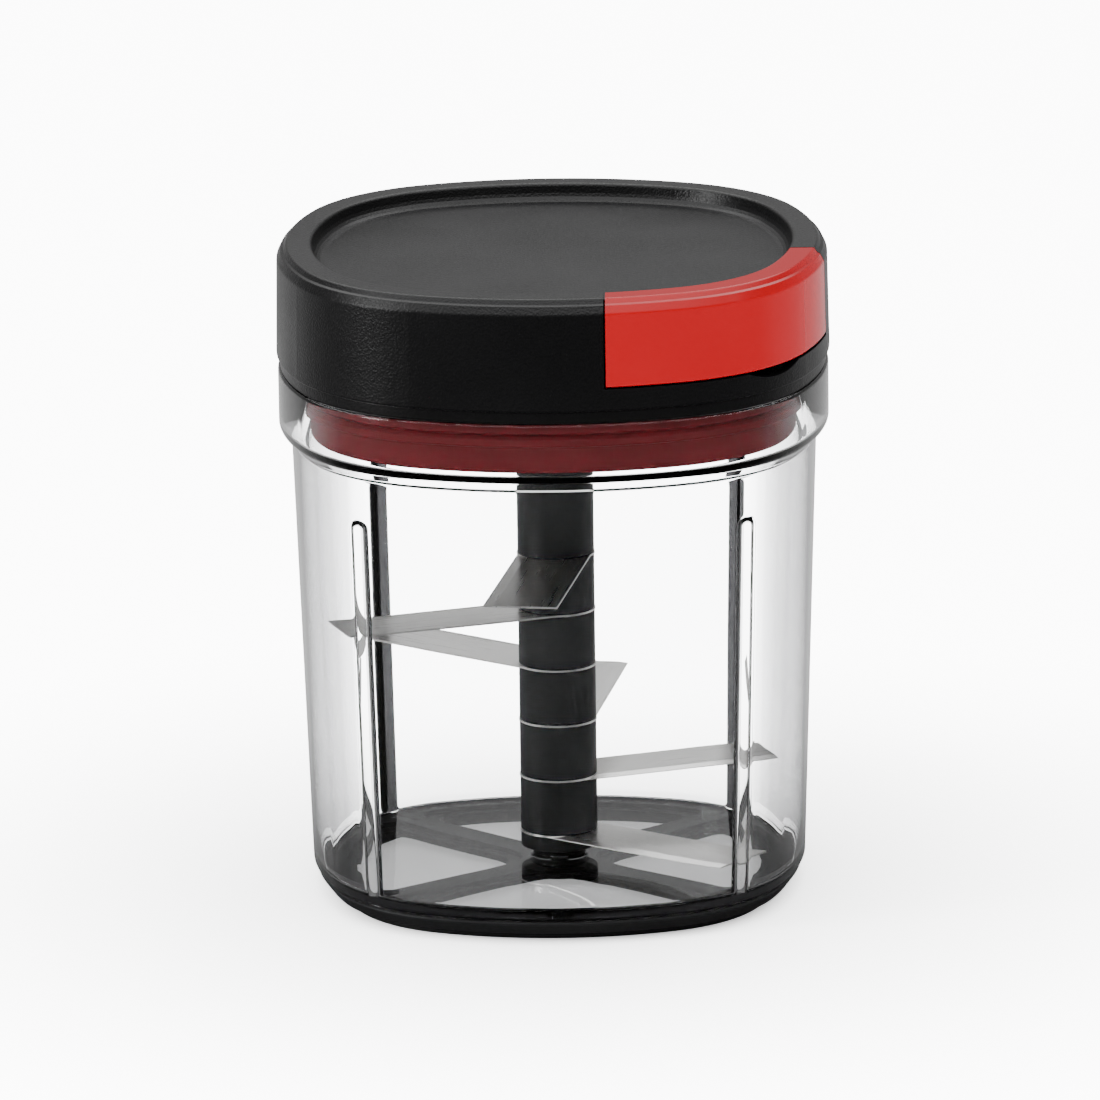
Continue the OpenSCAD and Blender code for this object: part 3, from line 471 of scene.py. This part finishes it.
# The six blades are stamped from stainless strip and polished along their length, and one edge of each
# is ground to a bevel. Each sits on the core one level above the last and a sixth of a turn on.
strokes, entry, leave = shader_group("polish_strokes", [("Turn", 0.0)], ["Strokes"])
place = strokes.nodes.new("ShaderNodeTexCoord")
turned = strokes.nodes.new("ShaderNodeVectorRotate")
turned.rotation_type = "Z_AXIS"
stretch = strokes.nodes.new("ShaderNodeMapping")
stretch.inputs["Scale"].default_value = (40, 3000, 3000)
lines = strokes.nodes.new("ShaderNodeTexNoise")
lines.inputs["Scale"].default_value = 1
lines.inputs["Detail"].default_value = 3
strokes.links.new(place.outputs["Object"], turned.inputs["Vector"])
strokes.links.new(entry.outputs["Turn"], turned.inputs["Angle"])
strokes.links.new(turned.outputs["Vector"], stretch.inputs["Vector"])
strokes.links.new(stretch.outputs["Vector"], lines.inputs["Vector"])
strokes.links.new(lines.outputs["Fac"], leave.inputs["Strokes"])


def polished(name, tint, rough, turn, depth):
    """Polished metal whose fine strokes run at a turn in degrees."""
    material, tree, shader = shaded(name)
    shader.inputs["Base Color"].default_value = (*tint, 1)
    shader.inputs["Metallic"].default_value = 1.0
    texture = place_group(tree, strokes, Turn=math.radians(turn))
    tree.links.new(ranged(tree, texture.outputs["Strokes"], *rough), shader.inputs["Roughness"])
    bumped(tree, shader, texture.outputs["Strokes"], strength=0.25, depth=depth)
    return material


levels = 6
lowest_turn, turn_step = -38, 60
for level in range(1, levels + 1):
    turn = lowest_turn + turn_step * (levels - level)
    steel = polished(f"blade_steel_{level}", tint=(0.94, 0.93, 0.91), rough=(0.24, 0.34), turn=-turn,
                     depth=0.000004)
    dress(steel, f"blade_{level}")

# Turned and stamped steel: the pivot pin in the bowl's floor, and in the lid the axle, washer, spring
# and its cover, eyelet, ferrule and screws.
turned_steel = polished("turned_steel", tint=(0.6, 0.61, 0.63), rough=(0.16, 0.3), turn=0, depth=0.000006)
dress(turned_steel, "pivot_pin", "lid_screws", "cord_eyelet", "reel_axle", "reel_washer", "power_spring",
      "spring_cover", "cord_ferrule")

# The reel and the drive socket below it are white acetal mouldings, hidden in the lid until it is
# lifted and seen from below.
white_plastic = moulded("white_plastic", shade=(0.78, 0.77, 0.74), lighter=(0.84, 0.83, 0.8),
                        rough=(0.35, 0.5), shine=0.4, size=2400, depth=0.00003)
dress(white_plastic, "reel", "drive_socket")

# The pull cord is a braided polyester line, wound on the reel and led through the eyelet to the handle.
# Its last piece is a short round tube from the eyelet towards the handle, made here in place of the model's
# own lead.
cord_braid, tree, shader = shaded("cord_braid")
place = tree.nodes.new("ShaderNodeTexCoord")
strands = tree.nodes.new("ShaderNodeTexWave")
strands.wave_type = "BANDS"
strands.bands_direction = "DIAGONAL"
strands.inputs["Scale"].default_value = 700
strands.inputs["Distortion"].default_value = 1.5
tint = tree.nodes.new("ShaderNodeValToRGB")
tint.color_ramp.elements[0].color = (0.55, 0.54, 0.5, 1)
tint.color_ramp.elements[1].color = (0.82, 0.81, 0.77, 1)
tree.links.new(place.outputs["Object"], strands.inputs["Vector"])
tree.links.new(strands.outputs["Fac"], tint.inputs["Fac"])
tree.links.new(tint.outputs["Color"], shader.inputs["Base Color"])
shader.inputs["Roughness"].default_value = 0.75
bumped(tree, shader, strands.outputs["Fac"], strength=1.0, depth=0.0002)
dress(cord_braid, "cord_run", "cord_winding")

cord_z, lead_from, lead_to, cord_r = 137.05, 57.1, 60.0, 1.0
lead_parts, round_parts = 12, 16
pull = Vector((1, -1, 0)).normalized()
across = Vector((1, 1, 0)).normalized()
up = Vector((0, 0, 1))
ring = [2 * math.pi * k / round_parts for k in range(round_parts)]
lead_loops = []
for i in range(lead_parts + 1):
    middle = pull * (lead_from + (lead_to - lead_from) * i / lead_parts) + up * cord_z
    lead_loops.append([middle + cord_r * (math.cos(a) * across + math.sin(a) * up) for a in ring])
lead = loops_mesh("paid_out_cord", lead_loops, smooth_angle=60)
lead.data.materials.append(cord_braid)
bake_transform(lead)
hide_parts("cord_lead")
